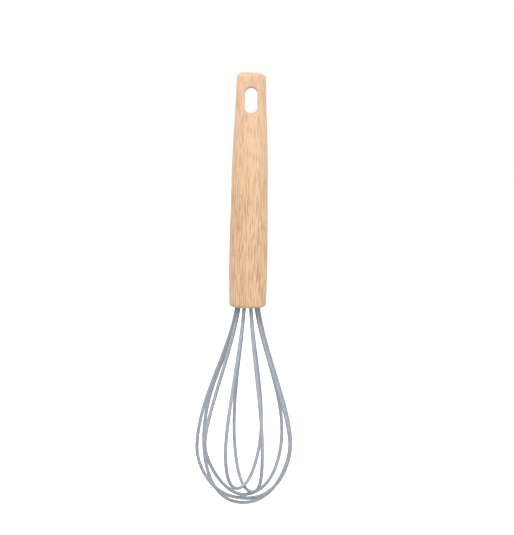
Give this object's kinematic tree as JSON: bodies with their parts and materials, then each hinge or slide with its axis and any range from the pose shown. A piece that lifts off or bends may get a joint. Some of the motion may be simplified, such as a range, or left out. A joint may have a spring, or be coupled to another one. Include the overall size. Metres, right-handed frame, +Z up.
{
  "type": "balloon whisk",
  "caption": "Hand balloon whisk with a tapered wooden handle, a round-ended hanging slot and crossing silicone-covered wire loops for beating eggs, cream and batter.",
  "frame": {"origin": "the upper end of the hanging slot, on the handle's axis and half way through its thickness, where a hook carries the whisk", "axes": "+Z up along the handle, with the wire loops below; +X across the handle's width, to the right seen from the front; +Y from front to back, through the hanging slot"},
  "size_m": [0.0662, 0.0632, 0.2926],
  "materials": {
    "beech_wood": "oiled, fine grained, satin",
    "moulded_plastic": "moulded, matte",
    "cast_resin": "cast, clear amber",
    "spring_steel": "drawn wire",
    "grey_silicone": "soft matte silicone"
  },
  "bodies": {
    "root": {"handle": "beech_wood", "wire_holder": "moulded_plastic", "resin_plug": "cast_resin", "wire_core_1": "spring_steel", "wire_core_2": "spring_steel", "wire_core_3": "spring_steel", "wire_core_4": "spring_steel", "wire_core_5": "spring_steel", "silicone_sleeve_1": "grey_silicone", "silicone_sleeve_2": "grey_silicone", "silicone_sleeve_3": "grey_silicone", "silicone_sleeve_4": "grey_silicone", "silicone_sleeve_5": "grey_silicone"}
  },
  "joints": []
}
